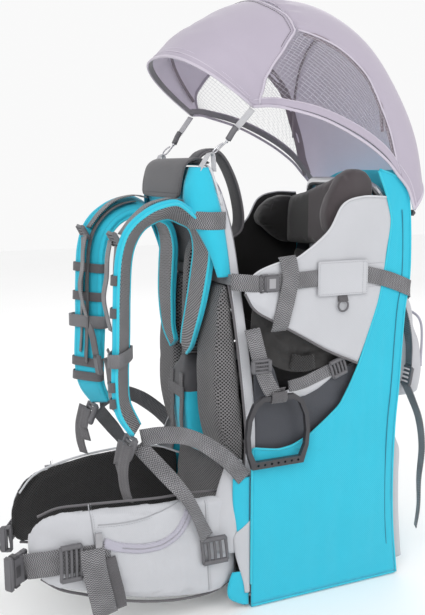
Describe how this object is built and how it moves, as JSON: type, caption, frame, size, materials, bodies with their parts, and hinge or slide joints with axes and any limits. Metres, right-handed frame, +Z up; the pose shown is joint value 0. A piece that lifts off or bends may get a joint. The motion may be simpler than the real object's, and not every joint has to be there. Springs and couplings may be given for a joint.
{
  "type": "baby carrier backpack",
  "caption": "Framed backpack that carries a seated child, with padded harness, hip belt, stirrups, kick stand and sun canopy.",
  "frame": {"origin": "on the standing face, midway between the two side panels, 158 mm behind the front edge of the base", "axes": "+X towards the wearer's left side, -Y towards the wearer's back, +Z up"},
  "size_m": [0.328, 0.8032, 0.9752],
  "materials": {
    "frame_tube": "satin",
    "black_plastic": "fine grain",
    "steel": "satin",
    "light_cloth": "twill weave",
    "air_mesh": "open air mesh",
    "turquoise_cloth": "diagonal twill weave",
    "dark_cloth": "brushed weave",
    "webbing": "ribbed webbing",
    "white_webbing": "woven webbing",
    "canopy_cloth": "plain weave and net",
    "white_plastic": "smooth"
  },
  "bodies": {
    "root": {"back_frame": "frame_tube", "frame_crossbars": "frame_tube", "rear_hoop": "frame_tube", "side_rails": "frame_tube", "hinge_brackets": "black_plastic", "pivot_pins": "steel", "frame_sleeve": "light_cloth", "spine_panel": "air_mesh", "back_pad_left": "air_mesh", "back_pad_right": "air_mesh", "lumbar_pad": "air_mesh", "headboard": "turquoise_cloth", "headboard_flap": "dark_cloth", "carry_handle": "webbing", "hook_loops": "white_webbing", "side_panel_left": "turquoise_cloth", "side_panel_right": "turquoise_cloth", "base_panel": "turquoise_cloth", "rear_panel": "turquoise_cloth", "rear_pocket": "light_cloth", "side_wing_left": "light_cloth", "side_wing_right": "light_cloth", "headrest": "dark_cloth", "backrest": "dark_cloth", "child_harness": "webbing", "harness_buckle": "black_plastic", "shoulder_strap_left": "turquoise_cloth", "shoulder_strap_right": "turquoise_cloth", "load_lifters": "webbing", "lifter_locks": "black_plastic", "lower_straps": "webbing", "lower_locks": "black_plastic", "hip_wing_left": "light_cloth", "hip_wing_right": "light_cloth", "hip_webbing": "webbing", "hip_triglides": "black_plastic", "hip_buckle_female": "black_plastic", "hip_buckle_male": "black_plastic", "stirrup_webs": "webbing", "side_webbing": "webbing", "side_buckles": "black_plastic", "side_patches": "light_cloth", "d_ring_tabs": "webbing", "rear_straps": "webbing", "canopy_studs": "black_plastic"},
    "stand": {"kick_stand": "frame_tube"},
    "seat": {"seat_pan": "dark_cloth"},
    "canopy": {"canopy_cover": "canopy_cloth", "canopy_bows": "frame_tube"},
    "hook_left": {"hook_left": "white_plastic"},
    "hook_right": {"hook_right": "white_plastic"},
    "stirrup_left": {"stirrup_left": "black_plastic"},
    "stirrup_right": {"stirrup_right": "black_plastic"},
    "sternum_left": {"sternum_strap_left": "webbing"},
    "sternum_right": {"sternum_strap_right": "webbing"},
    "d_ring_left": {"d_ring_left": "steel"},
    "d_ring_right": {"d_ring_right": "steel"},
    "zip_left": {"zip_pull_left": "steel"},
    "zip_right": {"zip_pull_right": "steel"},
    "zip_rear": {"zip_pull_rear": "steel"}
  },
  "joints": [
    {"name": "stand_fold", "type": "hinge", "parent": "root", "child": "stand", "pos_m": [0, 0.098, 0.285], "axis": [-1, 0, 0], "range_deg": [0, 50]},
    {"name": "canopy_fold", "type": "hinge", "parent": "root", "child": "canopy", "pos_m": [0, 0.14, 0.634], "axis": [-1, 0, 0], "range_deg": [0, 55]},
    {"name": "hook_left_turn", "type": "hinge", "parent": "canopy", "child": "hook_left", "pos_m": [-0.118, -0.15, 0.793], "axis": [0, 0, 1], "range_deg": [-60, 60]},
    {"name": "hook_right_turn", "type": "hinge", "parent": "canopy", "child": "hook_right", "pos_m": [0.118, -0.15, 0.793], "axis": [0, 0, 1], "range_deg": [-60, 60]},
    {"name": "seat_height", "type": "slide", "parent": "root", "child": "seat", "axis": [0, 0, 1], "range_m": [0, 0.04]},
    {"name": "stirrup_left_swing", "type": "hinge", "parent": "root", "child": "stirrup_left", "pos_m": [-0.156, -0.118, 0.352], "axis": [0, 1, 0], "range_deg": [0, 75]},
    {"name": "stirrup_right_swing", "type": "hinge", "parent": "root", "child": "stirrup_right", "pos_m": [0.156, -0.118, 0.352], "axis": [0, -1, 0], "range_deg": [0, 75]},
    {"name": "sternum_left_slide", "type": "slide", "parent": "root", "child": "sternum_left", "axis": [0, 0, 1], "range_m": [-0.02, 0.02]},
    {"name": "sternum_right_slide", "type": "slide", "parent": "root", "child": "sternum_right", "axis": [0, 0, 1], "range_m": [-0.02, 0.02]},
    {"name": "d_ring_left_swing", "type": "hinge", "parent": "root", "child": "d_ring_left", "pos_m": [-0.151, 0.002, 0.497], "axis": [0, 1, 0], "range_deg": [0, 80]},
    {"name": "d_ring_right_swing", "type": "hinge", "parent": "root", "child": "d_ring_right", "pos_m": [0.151, 0.002, 0.497], "axis": [0, -1, 0], "range_deg": [0, 80]},
    {"name": "zip_left_swing", "type": "hinge", "parent": "root", "child": "zip_left", "pos_m": [-0.156, -0.414, 0.18], "axis": [1, 0, 0], "range_deg": [-40, 40]},
    {"name": "zip_right_swing", "type": "hinge", "parent": "root", "child": "zip_right", "pos_m": [0.156, -0.414, 0.18], "axis": [1, 0, 0], "range_deg": [-40, 40]},
    {"name": "zip_rear_slide", "type": "slide", "parent": "root", "child": "zip_rear", "axis": [0, 0, 1], "range_m": [-0.15, 0]}
  ]
}
